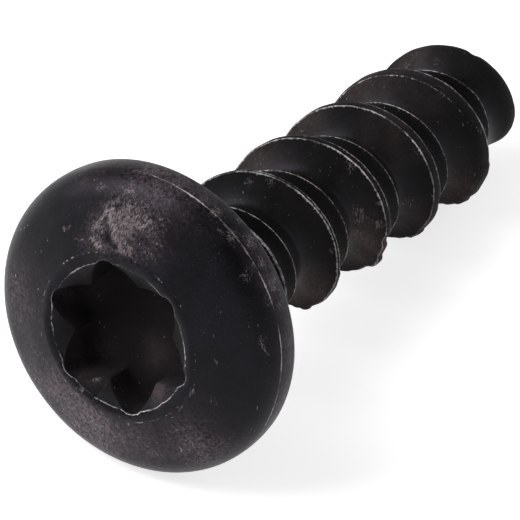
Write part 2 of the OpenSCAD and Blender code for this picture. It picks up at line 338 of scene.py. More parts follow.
# Radius of each crest: it rises out of the neck and falls towards the tip
high_full = add_node(thread, "ShaderNodeMath", {
    0: size["High start"], 1: size["Run-in"]}, operation="ADD")
taper_start = add_node(thread, "ShaderNodeMath", {
    0: size["Length"], 1: size["Taper length"]}, operation="SUBTRACT")
taper_drop = add_node(thread, "ShaderNodeMath", {
    0: size["Thread radius"], 1: size["Taper end radius"]}, operation="SUBTRACT")
past_end = add_node(thread, "ShaderNodeMath", {
    0: size["Length"], 1: size["Crest width at the tip"]}, operation="ADD")
past_drop = add_node(thread, "ShaderNodeMath", {
    0: size["Taper end radius"], 1: size["End radius"]}, operation="SUBTRACT")
crest_radii = []
for at in (crest_z, next_z):
    rising = add_node(thread, "ShaderNodeMapRange", {
        "Value": at, "From Min": size["High start"], "From Max": high_full,
        "To Min": size["High start radius"], "To Max": size["Thread radius"]})
    taper_share = add_node(thread, "ShaderNodeMapRange", {
        "Value": at, "From Min": taper_start, "From Max": size["Length"]})
    steepening = add_node(thread, "ShaderNodeMath", {0: taper_share, 1: taper_bend}, operation="POWER")
    tapering = add_node(thread, "ShaderNodeMath", {0: steepening, 1: taper_drop}, operation="MULTIPLY")
    ending = add_node(thread, "ShaderNodeMapRange", {
        "Value": at, "From Min": size["Length"], "From Max": past_end, "To Max": past_drop})
    tapered = add_node(thread, "ShaderNodeMath", {0: rising, 1: tapering}, operation="SUBTRACT")
    crest_radii.append(add_node(thread, "ShaderNodeMath", {0: tapered, 1: ending}, operation="SUBTRACT"))
low_full = add_node(thread, "ShaderNodeMath", {
    0: size["Low start"], 1: size["Run-in"]}, operation="ADD")
low_stop = add_node(thread, "ShaderNodeMath", {
    0: size["Length"], 1: size["Low stop"]}, operation="SUBTRACT")
low_fade = add_node(thread, "ShaderNodeMath", {
    0: low_stop, 1: size["Low run-out"]}, operation="SUBTRACT")
low_rising = add_node(thread, "ShaderNodeMapRange", {
    "Value": low_z, "From Min": size["Low start"], "From Max": low_full,
    "To Min": size["End radius"], "To Max": size["Low radius"]})
low_fall = add_node(thread, "ShaderNodeMath", {
    0: size["Low radius"], 1: size["End radius"]}, operation="SUBTRACT")
low_fading = add_node(thread, "ShaderNodeMapRange", {
    "Value": low_z, "From Min": low_fade, "From Max": low_stop, "To Max": low_fall})
low_crest = add_node(thread, "ShaderNodeMath", {0: low_rising, 1: low_fading}, operation="SUBTRACT")

# Distances out from the near and far edges of the crest behind, the next crest and the low crest between
past_near = add_node(thread, "ShaderNodeMath", {0: along, 1: last_width}, operation="ADD")
behind_near = add_node(thread, "ShaderNodeMath", {0: past_near, 1: -1.0}, operation="MULTIPLY")
to_near_edge = add_node(thread, "ShaderNodeMath", {0: hollow, 1: along}, operation="SUBTRACT")
past_far_edge = add_node(thread, "ShaderNodeMath", {0: along, 1: size["Lead"]}, operation="SUBTRACT")
from_low = add_node(thread, "ShaderNodeMath", {0: along, 1: size["Low gap"]}, operation="SUBTRACT")
before_low = add_node(thread, "ShaderNodeMath", {0: from_low, 1: -1.0}, operation="MULTIPLY")
near_rounding, far_rounding = [add_node(thread, "ShaderNodeMapRange", {
    "Value": z, "From Min": size[side + " edge rounds from"], "From Max": size["Length"],
    "To Min": size["Crest rounding"], "To Max": size[side + " edge rounding at the tip"]})
    for side in ("Near", "Far")]

# Each thread is a hollow-sided ridge: full height on its crest, and flat where it meets the core.
# The distance out from an edge is below zero on the crest itself, and is bent smoothly to zero there.
radius = core
ridges = []
high_run = size["High flank run"]
low_run = size["Low flank run"]
low_rounding = size["Crest rounding"]
for near, near_round, far, far_round, crest_r, run in (
        (behind_near, near_rounding, along, far_rounding, crest_radii[0], high_run),
        (to_near_edge, near_rounding, past_far_edge, far_rounding, crest_radii[1], high_run),
        (before_low, low_rounding, from_low, low_rounding, low_crest, low_run)):
    parts = []
    for distance, rounding in ((near, near_round), (far, far_round)):
        rounding_square = add_node(thread, "ShaderNodeMath", {
            0: rounding, 1: rounding}, operation="MULTIPLY")
        square = add_node(thread, "ShaderNodeMath", {
            0: distance, 1: distance, 2: rounding_square}, operation="MULTIPLY_ADD")
        root = add_node(thread, "ShaderNodeMath", {0: square}, operation="SQRT")
        parts.append(add_node(thread, "ShaderNodeMath", {0: root, 1: distance}, operation="ADD"))
    doubled = add_node(thread, "ShaderNodeMath", {0: parts[0], 1: parts[1]}, operation="ADD")
    soft = add_node(thread, "ShaderNodeMath", {0: doubled, 1: 0.5}, operation="MULTIPLY")
    share = add_node(thread, "ShaderNodeMapRange", {
        "Value": soft, "From Min": 0.0, "From Max": run, "To Min": 1.0, "To Max": 0.0})
    ridge = add_node(thread, "ShaderNodeMath", {0: share, 1: flank_hollow}, operation="POWER")
    crowned = add_node(thread, "ShaderNodeMath", {0: near_round, 1: far_round}, operation="ADD")
    crown = add_node(thread, "ShaderNodeMath", {
        0: crowned, 1: 0.5, 2: crest_r}, operation="MULTIPLY_ADD")
    rise = add_node(thread, "ShaderNodeMath", {0: crown, 1: core}, operation="SUBTRACT")
    height = add_node(thread, "ShaderNodeMath", {0: rise, 1: 0.0}, operation="MAXIMUM")
    radius = add_node(thread, "ShaderNodeMath", {
        0: ridge, 1: height, 2: radius}, operation="MULTIPLY_ADD")
    ridges.append(ridge)
high_ridge = add_node(thread, "ShaderNodeMath", {0: ridges[0], 1: ridges[1]}, operation="MAXIMUM")

# Worn edges: the two edges of the high crest, as far as they are sharp, and the one of the low crest.
# A crest is worn only where it stands well above the core.
worn_from = 0.05 * mm
worn_full = 0.3 * mm
sharp = {}
for side, left in (("Near", near_edge_left), ("Far", 0.0)):
    rounds_from = size[side + " edge rounds from"]
    dull_at = add_node(thread, "ShaderNodeMath", {
        0: rounds_from, 1: size[side + " edge dulls over"]}, operation="ADD")
    sharp[side] = add_node(thread, "ShaderNodeMapRange", {
        "Value": z, "From Min": rounds_from, "From Max": dull_at, "To Min": 1.0, "To Max": left})
worn = None
for distance, most_worn, side in (
        (along, sharp["Far"], "Far"), (to_near_edge, sharp["Near"], "Near"),
        (past_far_edge, sharp["Far"], "Far"), (from_low, 1.0, "Near")):
    gap = add_node(thread, "ShaderNodeMath", {0: distance}, operation="ABSOLUTE")
    near = add_node(thread, "ShaderNodeMapRange", {
        "Value": gap, "From Min": 0.0, "From Max": size[side + " edge width"],
        "To Min": most_worn, "To Max": 0.0})
    worn = near if worn is None else add_node(
        thread, "ShaderNodeMath", {0: worn, 1: near}, operation="MAXIMUM")
above_core = add_node(thread, "ShaderNodeMath", {0: radius, 1: core}, operation="SUBTRACT")
risen = add_node(thread, "ShaderNodeMapRange", {
    "Value": above_core, "From Min": worn_from, "From Max": worn_full})
worn_edge = add_node(thread, "ShaderNodeMath", {0: worn, 1: risen}, operation="MULTIPLY")

# The ribbon is wound up: the turns before the neck and past the end go, and the rest becomes the skin
angle = add_node(thread, "ShaderNodeMath", {0: turn, 1: 2 * math.pi}, operation="MULTIPLY")
cosine = add_node(thread, "ShaderNodeMath", {0: angle}, operation="COSINE")
sine = add_node(thread, "ShaderNodeMath", {0: angle}, operation="SINE")
shift = add_node(thread, "ShaderNodeMapRange", {
    "Value": z, "From Min": size["Neck length"], "From Max": high_full, "To Max": size["Off centre"]},
    interpolation_type="SMOOTHSTEP")
x = add_node(thread, "ShaderNodeMath", {0: cosine, 1: radius}, operation="MULTIPLY")
y_centred = add_node(thread, "ShaderNodeMath", {0: sine, 1: radius}, operation="MULTIPLY")
y = add_node(thread, "ShaderNodeMath", {0: y_centred, 1: shift}, operation="SUBTRACT")
wound = add_node(thread, "ShaderNodeCombineXYZ", {"X": x, "Y": y, "Z": z})
column_step = add_node(thread, "ShaderNodeMath", {0: size["Lead"], 1: columns}, operation="DIVIDE")
last_z = add_node(thread, "ShaderNodeMath", {0: size["Length"], 1: column_step}, operation="ADD")
first_z = add_node(thread, "ShaderNodeMath", {
    0: size["Neck length"], 1: column_step}, operation="SUBTRACT")
beyond = add_node(thread, "ShaderNodeMath", {0: crest_z, 1: last_z}, operation="GREATER_THAN")
ahead = add_node(thread, "ShaderNodeMath", {0: next_z, 1: first_z}, operation="LESS_THAN")
outside = add_node(thread, "ShaderNodeMath", {0: beyond, 1: ahead}, operation="MAXIMUM")
kept = add_node(thread, "GeometryNodeDeleteGeometry", {
    "Geometry": ribbon.outputs["Mesh"], "Selection": outside}, domain="POINT")
for name, value in (("edge", worn_edge), ("crest", high_ridge)):
    kept = add_node(thread, "GeometryNodeStoreNamedAttribute", {
        "Geometry": kept, "Name": name, "Value": value}, data_type="FLOAT", domain="POINT")
skin = add_node(thread, "GeometryNodeSetPosition", {"Geometry": kept, "Position": wound})
joined = add_node(thread, "GeometryNodeMergeByDistance", {"Geometry": skin, "Distance": 0.001 * mm})
real = add_node(thread, "GeometryNodeRealizeInstances", {"Geometry": joined})
coated = add_node(thread, "GeometryNodeSetMaterial", {"Geometry": real, "Material": coating})
add_node(thread, "NodeGroupOutput", {"Geometry": coated})

blank = bpy.data.objects.new("shank_blank", bpy.data.meshes.new("shank_blank"))
bpy.context.scene.collection.objects.link(blank)
rolling = blank.modifiers.new("rolled_thread", "NODES")
rolling.node_group = thread
for name, socket in sockets.items():
    rolling[socket.identifier] = sizes[name]
evaluated = blank.evaluated_get(bpy.context.evaluated_depsgraph_get())
shank_mesh = bpy.data.meshes.new_from_object(evaluated)
blank.modifiers.remove(rolling)
bpy.data.objects.remove(blank)

# Head: a button head, cold-headed in one blow, with a six-lobe recess punched into its top.
# The punch leaves a thin raised lip round the mouth, and a chamfer cuts a lens-shaped facet on each ridge.
head_r = 4.7 * mm
head_h = 1.95 * mm
rim_h = 0.7 * mm
rim_bulge_r = 2.0 * mm
dome_r = 10.0 * mm
dome_edge_r = 4.1 * mm
shoulder_r = 1.1 * mm
land_r = 2.6 * mm
lobe_r = 0.38 * mm
lobe_c = 2.34 * mm - lobe_r
ridge_in = 1.675 * mm
recess_depth = 1.3 * mm
cone_h = 0.3 * mm
mouth_r = 2.25 * mm
mouth_chamfer_h = 0.32 * mm
recess_turn = math.radians(44)
lip = 0.03 * mm
bead_h = 0.04 * mm
mouth_wave = 0.035 * mm
mouth_jag = 0.014 * mm
corner_r = 0.12 * mm
neck_fillet = 0.65 * mm
neck_r = sizes["Neck radius"]
neck_l = sizes["Neck length"]
half_pitch = math.radians(30)

rim_c = (head_r - rim_bulge_r, rim_h / 2)
rim_half_angle = math.asin(rim_h / 2 / rim_bulge_r)
rim_edge = Vector((rim_c[0] + rim_bulge_r * math.cos(rim_half_angle), rim_h))
dome_c = head_h - math.sqrt(dome_r ** 2 - land_r ** 2)
dome_edge = Vector((dome_edge_r, dome_c + math.sqrt(dome_r ** 2 - dome_edge_r ** 2)))
chord = rim_edge - dome_edge
shoulder_c = (dome_edge + rim_edge) / 2 + math.sqrt(shoulder_r ** 2 - (chord.length / 2) ** 2) * (
    Vector((chord.y, -chord.x)).normalized())
ridge_r = (lobe_c ** 2 + ridge_in ** 2 - 2 * lobe_c * ridge_in * math.cos(half_pitch) - lobe_r ** 2) / (
    2 * (lobe_r - ridge_in + lobe_c * math.cos(half_pitch)))
ridge_c = ridge_in + ridge_r
lobe_turn = math.atan2(ridge_c * math.sin(half_pitch), ridge_c * math.cos(half_pitch) - lobe_c)
ridge_turn = lobe_turn - half_pitch
lobe_arc = lobe_r * lobe_turn
ridge_arc = ridge_r * ridge_turn


def recess_wall(column_angle):
    """Radius and angle of the point on the recess wall that a column of the head's mesh runs through."""
    off = (column_angle - recess_turn + half_pitch) % (2 * half_pitch) - half_pitch
    run = abs(off) / half_pitch * (lobe_arc + ridge_arc)
    if run < lobe_arc:
        point = (lobe_c + lobe_r * math.cos(run / lobe_r), lobe_r * math.sin(run / lobe_r))
    else:
        bend = math.pi + half_pitch + ridge_turn - (run - lobe_arc) / ridge_r
        point = (ridge_c * math.cos(half_pitch) + ridge_r * math.cos(bend),
                 ridge_c * math.sin(half_pitch) + ridge_r * math.sin(bend))
    gain = math.atan2(point[1], point[0]) - abs(off)
    return math.hypot(*point), math.copysign(gain, off)


def round_waves(fineness, seed):
    """Smooth noise from -1 to 1 round the head, one value for each column."""
    return np.array([
        noise.noise(Vector((math.cos(a) * fineness, math.sin(a) * fineness, seed))) for a in angles])


angles = np.arange(columns) * 2 * math.pi / columns
wall, wall_shift = np.array([recess_wall(a) for a in angles]).T
jagged = round_waves(26, 2.9)
mouth = np.maximum(wall + lip, mouth_r) + mouth_wave * round_waves(7, 0.7) + mouth_jag * jagged
mouth = np.maximum(wall + 0.3 * lip, mouth)
facet_h = np.maximum(1.5 * lip, (mouth - wall) * mouth_chamfer_h / (mouth_r - ridge_in))
floor_h = head_h - recess_depth

# Each ring of the head: radius, height above the bearing face, share of the recess's shift, edge wear
rings = []
for s in (0.15, 0.35, 0.6, 0.85, 1.0):
    r = (wall - corner_r) * s
    rings.append((r, floor_h - cone_h * np.maximum(0, 1 - r / ridge_in), 1.0, 0.0))
rings.append((wall - 0.3 * corner_r, floor_h + 0.3 * corner_r, 1.0, 0.0))
for s in np.linspace(0, 1, 9):
    rings.append((wall, floor_h + corner_r + s * (recess_depth - corner_r - facet_h), 1.0, 0.35 * (s == 1)))
for s, worn in ((0.08, 0.3), (0.35, 0.0), (0.65, 0.0), (0.95, 0.3), (1.0, 1.2)):
    rings.append((wall + s * (mouth - wall), head_h - (1 - s) * facet_h, 1.0, worn))
for s, worn in ((0.06, 0.6), (0.16, 0.1), (0.35, 0.0), (0.55, 0.0), (0.75, 0.1), (0.9, 0.4), (1.0, 0.63)):
    rings.append((mouth + s * (land_r - mouth), head_h + bead_h * math.sin(math.pi * s), 1.0, worn))
for s in np.linspace(0, 1, 21)[1:]:
    r = land_r + s * (dome_edge_r - land_r)
    rings.append((r, dome_c + math.sqrt(dome_r ** 2 - r ** 2), 1 - s, 0.0))
from_dome = math.atan2(*(dome_edge - shoulder_c).yx)
to_rim = math.atan2(*(rim_edge - shoulder_c).yx)
whole_shoulder = [(s, 0.0) for s in np.linspace(0, 0.9, 11)[1:]]
for s, worn in whole_shoulder + [(0.95, 0.4), (0.98, 0.8), (1.0, 1.05)]:
    a = from_dome + s * (to_rim - from_dome)
    r = shoulder_c.x + shoulder_r * math.cos(a)
    rings.append((r, shoulder_c.y + shoulder_r * math.sin(a), 0.0, worn))
whole_rim = [(s, 0.0) for s in (0.8, 0.5, 0.2, -0.2, -0.5, -0.8)]
for s, worn in [(0.97, 0.8), (0.93, 0.4)] + whole_rim + [(-0.93, 0.4)]:
    a = s * rim_half_angle
    rings.append((rim_c[0] + rim_bulge_r * math.cos(a), rim_c[1] + rim_bulge_r * math.sin(a), 0.0, worn))
for inset, worn in ((0.015, 0.7), (0.06, 0.3), (0.3, 0.0), (0.9, 0.0), (1.5, 0.0), (2.0, 0.0)):
    rings.append((rim_edge.x - inset * mm, 0.0, 0.0, worn))
for s in np.linspace(0, 1, 9):
    a = s * math.pi / 2
    rings.append((neck_r + neck_fillet * (1 - math.sin(a)), -neck_fillet * (1 - math.cos(a)), 0.0, 0.0))
rings.append((neck_r, -neck_l, 0.0, 0.0))

# The rim is worn bright over less than half its round, and the mouth all round, both unevenly
worn_side = math.radians(230)
worn_half = math.radians(80)
worn_fade = math.radians(25)
off_worn_side = np.abs((angles - worn_side + math.pi) % (2 * math.pi) - math.pi)
rim_worn = np.clip((worn_half - off_worn_side) / worn_fade, 0.1, 1.1)
rim_worn *= 0.85 + 0.5 * round_waves(9, 5.1)
mouth_worn = 0.9 + 0.5 * round_waves(4, 3.3) + 0.5 * jagged
head_points = [(0.0, 0.0, cone_h - floor_h)]
head_edges = [0.0]
for r, h, share, worn in rings:
    turned = angles + share * wall_shift
    ring = np.broadcast_arrays(r * np.cos(turned), r * np.sin(turned), -h * np.ones(columns))
    head_points.extend(np.stack(ring, axis=1).tolist())
    head_edges.extend((worn * (mouth_worn if share == 1 else rim_worn)).tolist())
head_faces = [(0, 1 + j, 1 + (j + 1) % columns) for j in range(columns)]
for k in range(len(rings) - 1):
    start = 1 + k * columns
    for j in range(columns):
        n = (j + 1) % columns
        head_faces.append((start + j, start + columns + j, start + columns + n, start + n))
head_mesh = bpy.data.meshes.new("head")
head_mesh.from_pydata(head_points, [], head_faces)
head_mesh.attributes.new("edge", "FLOAT", "POINT").data.foreach_set("value", head_edges)

# The screw is one piece: head and shank are one skin, closed by the flat cut end of the blank.
skin_bm = bmesh.new()
skin_bm.from_mesh(shank_mesh)
skin_bm.from_mesh(head_mesh)
bmesh.ops.remove_doubles(skin_bm, verts=skin_bm.verts, dist=0.001 * mm)
length = sizes["Length"]
open_end = [e for e in skin_bm.edges if e.is_boundary]
for shrink in (0.93, 0.6, 0.3):
    grown = bmesh.ops.extrude_edge_only(skin_bm, edges=open_end)["geom"]
    ring = [v for v in grown if isinstance(v, bmesh.types.BMVert)]
    middle = sum((v.co for v in ring), Vector()) / len(ring)
    for v in ring:
        v.co = middle + (v.co - middle) * shrink
    open_end = [e for e in grown if isinstance(e, bmesh.types.BMEdge)]
bmesh.ops.contextual_create(skin_bm, geom=open_end)
bmesh.ops.recalc_face_normals(skin_bm, faces=skin_bm.faces)
mesh = bpy.data.meshes.new("screw")
skin_bm.to_mesh(mesh)
skin_bm.free()

# Marks of use: crests bent out or notched, pits and scuffs on the dome, and coating pooled in the recess.
# Places are in millimetres on the upright screw, with the bearing face at zero and the tip upwards.
count = len(mesh.vertices)
points = np.empty(count * 3)
mesh.vertices.foreach_get("co", points)
points = points.reshape(-1, 3)
normals = np.empty(count * 3)
mesh.vertices.foreach_get("normal", normals)
normals = normals.reshape(-1, 3)
crest = np.empty(count)
mesh.attributes["crest"].data.foreach_get("value", crest)


def waves(which, size_mm, seed):
    """Smooth noise from -1 to 1 at the chosen points, with waves of about this many millimetres."""
    start = Vector((seed, 0, 0))
    return np.array([noise.noise(Vector(c) / (size_mm * mm) + start) for c in points[which]])


# Crests: a little wavy all along, and bent out or notched in places.
# Each mark: the turns where it starts and ends, and how far it stands out of the crest in millimetres.
psi = np.arctan2(points[:, 1], points[:, 0])
turns = psi / (2 * math.pi)
crest_middle = 0.2 * mm
turns += np.round((points[:, 2] + crest_middle - sizes["First crest"]) / sizes["Lead"] - turns)
on_crest = np.flatnonzero(crest > 0.05)
crest_wave = 0.014
bend = crest_wave * crest[on_crest] ** 3 * waves(on_crest, 0.45, 1)
ragged = 1 + 0.25 * waves(on_crest, 0.4, 2)
crest_marks = (
    (1.77, 1.95, 0.05), (1.9, 1.93, 0.06), (2.772, 2.8, -0.08), (2.83, 2.87, 0.09), (2.87, 2.93, -0.03),
    (3.79, 3.93, 0.03), (3.86, 3.9, 0.06), (4.76, 4.93, 0.05), (4.87, 4.9, 0.06), (5.7, 5.9, 0.03),
    (1.3, 1.34, 0.05), (2.2, 2.23, -0.08), (3.14, 3.2, 0.05), (4.25, 4.27, -0.1), (5.1, 5.16, 0.04))
ramp = 0.008
for first, last, out in crest_marks:
    inside = np.minimum(turns[on_crest] - first, last - turns[on_crest]) / ramp
    bend += out * np.clip(inside, 0, 1) * crest[on_crest] ** 2 * ragged
points[on_crest, 0] += bend * mm * np.cos(psi[on_crest])
points[on_crest, 1] += bend * mm * np.sin(psi[on_crest])

# Forged skin of the head: a little uneven all over, and lumpy at the lip of the recess
skin_wave = 0.006
lip_wave = 0.014
lumps_end = 3.0 * mm
lumps_fade = 0.6 * mm
radii = np.hypot(points[:, 0], points[:, 1])
head_top = np.flatnonzero((points[:, 2] < -0.02 * mm) & (radii > mouth_r * 0.9))
lip_share = np.clip((lumps_end - radii[head_top]) / lumps_fade, 0, 1)
swell = skin_wave * waves(head_top, 1.3, 3) + lip_wave * lip_share * waves(head_top, 0.4, 4)
points[head_top] += swell[:, None] * mm * normals[head_top]

# Recess: the coating is thicker and duller in it, from a little under its mouth
recess_mouth = 2.4 * mm
pooled_below = 0.2 * mm
depth = points[:, 2] + head_h
above_bearing = points[:, 2] < -0.3 * mm
in_recess = above_bearing & (radii < recess_mouth)
pooled = np.where(in_recess, np.clip(depth / pooled_below, 0, 1), 0)

# Pits, each at a place x, y, z, with its spread and how deep it is
pits = (
    # above the recess, and in a row up from there
    (-2.9, 0.65, -1.84, 0.12, 0.06), (-2.79, 0.5, -1.87, 0.08, 0.05), (-3.0, 0.7, -1.81, 0.08, 0.04),
    (-2.74, 0.36, -1.89, 0.08, 0.04), (-4.03, 0.7, -1.41, 0.06, 0.03), (-3.93, 0.67, -1.46, 0.06, 0.03),
    (-3.83, 0.65, -1.51, 0.06, 0.03), (-3.73, 0.63, -1.56, 0.05, 0.03),
    # near the rim and on the threads
    (-0.59, -4.43, -1.1, 0.08, 0.04), (-3.91, -2.47, -0.82, 0.08, 0.05), (-2.16, -1.02, 13.9, 0.12, 0.06),
    (-1.96, -0.43, 17.12, 0.14, 0.08), (2.1, 3.6, -1.2, 0.1, 0.05), (-3.2, 2.9, -1.1, 0.08, 0.04))
pit_black_from = 0.25
pit_black_over = 0.3
pitted = np.zeros(count)
for x, y, z_at, spread, sunk in pits:
    share = np.exp(-(np.linalg.norm(points / mm - (x, y, z_at), axis=1) / spread) ** 2)
    points -= (sunk * mm * share)[:, None] * normals
    pitted = np.maximum(pitted, np.clip((share - pit_black_from) / pit_black_over, 0, 1))

# Scuffs, each at a place x, y, z, with its spread and how bare it is
scuffs = (
    # the large patch above the recess
    (-3.45, 0.35, -1.66, 0.8, 1.05), (-2.93, 0.21, -1.85, 0.5, 1.05), (-2.95, 0.5, -1.83, 0.4, 1.05),
    (-2.85, -0.05, -1.87, 0.4, 1.0), (-2.78, 1.0, -1.86, 0.35, 0.95), (-3.1, 0.95, -1.76, 0.35, 1.05),
    (-3.63, 0.71, -1.59, 0.55, 1.0), (-3.67, -0.13, -1.59, 0.7, 1.0), (-3.5, -0.6, -1.65, 0.7, 0.8),
    (-4.08, 0.5, -1.3, 0.7, 0.8), (-2.95, -0.7, -1.83, 0.5, 0.8), (-3.2, 1.2, -1.7, 0.5, 0.8),
    (-4.45, -0.3, -1.0, 0.6, 0.8), (-4.08, 1.35, -1.29, 0.25, 0.9), (-2.67, 0.91, -1.89, 0.35, 1.0),
    # small ones on the dome and round the mouth
    (-2.66, 2.17, -1.69, 0.18, 0.9), (-0.59, -4.43, -1.1, 0.22, 1.0), (-1.14, -4.24, -1.2, 0.25, 0.8),
    (0.78, -2.49, -1.94, 0.2, 1.0), (1.13, -2.25, -1.95, 0.18, 1.0), (2.59, -0.53, -1.93, 0.12, 1.1),
    (0.96, -3.14, -1.73, 0.3, 0.8), (2.12, 1.14, -1.95, 0.14, 1.1), (0.84, 2.55, -1.93, 0.15, 1.0),
    (-1.67, 1.82, -1.95, 0.16, 1.0), (1.62, 0.8, -1.71, 0.3, 1.1), (2.6, 2.9, -1.5, 0.5, 0.8),
    (3.4, -1.2, -1.5, 0.5, 0.8),
    # along the rim's edge and on the rim
    (-2.82, -3.51, -1.06, 0.25, 0.9), (-3.91, -2.47, -0.82, 0.3, 1.0), (-4.39, -1.65, -0.53, 0.3, 0.9),
    (-4.2, -2.06, -0.64, 0.35, 1.05), (-3.76, -2.74, -0.76, 0.3, 1.0), (-2.98, -3.5, -0.85, 0.35, 0.85),
    (-2.17, -4.12, -0.73, 0.3, 0.85), (-4.63, -0.78, -0.6, 0.3, 0.8), (-3.54, -3.08, -0.33, 0.3, 1.0),
    (-3.05, -3.57, -0.4, 0.35, 1.1), (-2.48, -3.98, -0.45, 0.3, 1.05), (-1.93, -4.27, -0.42, 0.25, 1.0),
    (-3.87, -2.6, -0.13, 0.25, 1.0),
    # on the threads, from the head to the tip
    (-2.19, -0.37, 5.27, 0.2, 0.9), (-2.05, 0.25, 5.08, 0.2, 0.9), (-0.4, -2.33, 5.88, 0.2, 1.05),
    (1.2, -1.93, 6.17, 0.25, 0.8), (-1.84, -1.36, 8.32, 0.25, 0.9), (-2.28, -0.19, 8.07, 0.12, 1.0),
    (-0.15, -1.81, 8.49, 0.36, 1.0), (-0.5, -1.68, 8.36, 0.28, 1.05), (0.33, -1.65, 8.54, 0.3, 1.0),
    (-0.08, -2.22, 8.7, 0.24, 1.1), (-0.82, -2.25, 8.63, 0.2, 1.05), (-0.48, -1.39, 7.99, 0.14, 1.0),
    (1.5, 1.6, 9.6, 0.3, 0.9), (-1.36, -1.93, 11.3, 0.2, 0.95), (0.51, -1.69, 11.45, 0.28, 0.9),
    (-0.4, 2.3, 12.0, 0.3, 1.0), (-2.16, -1.02, 13.9, 0.14, 1.0), (-0.95, -2.19, 14.5, 0.18, 1.0),
    (0.57, -1.7, 14.29, 0.25, 0.85), (-1.45, 1.28, 16.06, 0.2, 0.9), (-1.79, 0.32, 16.28, 0.18, 0.9),
    (-1.96, -0.43, 17.12, 0.13, 1.1))

# Single scratches, each from one point to another, and how bare it is
scratches = (
    # in the large scuff
    ((-4.06, 0.63, -1.41), (-3.41, 0.76, -1.66), 1.55), ((-3.65, 0.85, -1.57), (-2.97, 1.18, -1.77), 1.55),
    ((-3.42, 0.75, -1.66), (-3.02, 0.35, -1.82), 1.55), ((-2.73, 1.22, -1.83), (-2.6, 0.85, -1.91), 1.5),
    ((-3.43, -0.24, -1.68), (-3.8, -0.58, -1.53), 1.4),
    # round about it
    ((-2.57, 2.18, -1.71), (-2.79, 1.97, -1.69), 1.15), ((-4.14, 1.39, -1.23), (-4.13, 1.14, -1.3), 1.1),
    ((-4.13, 1.69, -1.13), (-4.21, 1.56, -1.08), 1.1), ((-3.26, -0.84, -1.71), (-3.21, -1.04, -1.71), 1.2),
    ((-3.88, -0.8, -1.47), (-3.87, -1.06, -1.45), 1.15), ((-4.3, 0.43, -1.27), (-4.32, 0.17, -1.27), 1.1),
    ((-2.52, 1.77, -1.81), (-2.59, 1.44, -1.84), 1.15),
    # beside the mouth and on the rest of the dome
    ((1.48, -2.2, -1.93), (1.08, -2.38, -1.94), 1.5), ((1.0, -2.44, -1.94), (0.56, -2.57, -1.94), 1.5),
    ((1.8, 2.17, -1.88), (2.15, 2.0, -1.85), 1.1), ((2.56, -0.44, -1.95), (2.62, -0.56, -1.92), 1.3),
    ((3.1, -1.52, -1.67), (3.12, -1.8, -1.62), 1.0), ((-0.99, -4.26, -1.21), (-0.78, -4.37, -1.14), 1.3),
    ((-0.35, -3.12, -1.78), (-0.24, -3.22, -1.76), 1.1), ((2.9, 2.4, -1.47), (3.2, 2.3, -1.36), 1.2),
    ((3.0, -2.1, -1.53), (3.3, -1.9, -1.47), 1.2))
scratch_width = 0.065

# Grey patches, each at a place x, y, z, with its spread and strength: rubbed coat, and painted sheen
rubs_and_sheens = (
    # the dome's lower side and its top, partly rubbed and partly a painted sheen of the floor's light, and
    # the scuff
    (3.29, 1.26, -1.65, 1.8, 1.15), (2.43, 2.53, -1.65, 1.4, 0.5), (3.4, -0.6, -1.66, 1.3, 0.5),
    (0.18, 3.9, -1.3, 1.4, 0.4), (2.88, -2.7, -1.47, 1.1, 0.85), (-4.6, 0.0, -0.7, 1.2, 0.8),
    (-4.5, -1.3, -0.6, 1.0, 0.3), (-3.4, -3.2, -0.3, 0.42, 0.45), (-2.7, -3.85, -0.3, 0.42, 0.45),
    (-3.35, 0.15, -1.7, 0.85, 1.1), (-2.95, 0.35, -1.83, 0.7, 1.1), (-2.7, 1.2, -1.88, 0.4, 0.6),
    (-3.9, 0.1, -1.45, 0.6, 0.6), (-4.3, 1.74, -0.6, 0.8, 0.3),
    # painted sheen on the lower ends of the flanks, then on their upper ends
    (1.5, -1.5, 6.2, 1.0, 0.75), (0.8, -1.8, 8.8, 1.0, 0.75), (1.1, -1.8, 11.7, 0.8, 0.35),
    (1.2, -1.7, 14.5, 0.9, 0.5), (-1.4, 1.6, 7.6, 0.9, 0.22), (-1.3, 1.7, 10.4, 0.9, 0.36),
    (-1.6, 1.6, 13.3, 0.9, 0.28), (-1.6, 1.2, 16.1, 0.8, 0.25), (-2.1, 0.6, 13.5, 0.8, 0.15),
    (-1.7, -1.0, 10.9, 1.0, 0.14), (-1.8, -0.5, 13.7, 1.0, 0.1))
rim_rubs = tuple(
    (head_r / mm * math.cos(a), head_r / mm * math.sin(a), -0.25, 0.4, 0.5)
    for a in np.radians(np.arange(235, 310, 8)))
# Painted reflection on the walls and floor of the recess, each at a place x, y, z, with its spread and
# strength
recess_reflections = (
    (0.75, -0.45, -0.55, 0.4, 0.25), (1.15, -0.45, -0.6, 0.35, 0.25), (1.3, -1.3, -1.76, 0.35, 0.8),
    (1.6, 0.8, -1.71, 0.25, 0.2), (-1.5, 1.35, -1.7, 0.25, 0.25), (-0.5, 2.0, -1.1, 0.55, 0.5),
    (1.5, 1.45, -1.1, 0.55, 0.5))

# The marks become attributes of the skin. Pits stay black, and the raised lip is marked less than the dome.
lip_cover = 0.6
lip_edge = land_r + 0.06 * mm
lip_fade = 0.08 * mm
everywhere = np.arange(count)
warp = 1 + 0.5 * waves(everywhere, 0.3, 5) + 0.4 * waves(everywhere, 0.9, 6)
scuffed = np.zeros(count)
for x, y, z_at, spread, strength in scuffs:
    far = np.linalg.norm(points / mm - (x, y, z_at), axis=1) * warp
    scuffed = np.maximum(scuffed, strength * np.exp(-(far / spread) ** 3))
for start, end, strength in scratches:
    run = np.subtract(end, start)
    from_start = points / mm - start
    share = np.clip(from_start @ run / (run @ run), 0, 1)
    far = np.linalg.norm(from_start - share[:, None] * run, axis=1)
    scuffed = np.maximum(scuffed, strength * np.exp(-(far / scratch_width) ** 2))
on_lip = np.clip((lip_edge - radii) / lip_fade, 0, 1) * above_bearing
outside_recess = 1 - in_recess
off_lip = 1 - lip_cover * on_lip
rubbed_and_sheen_grey = np.zeros(count)
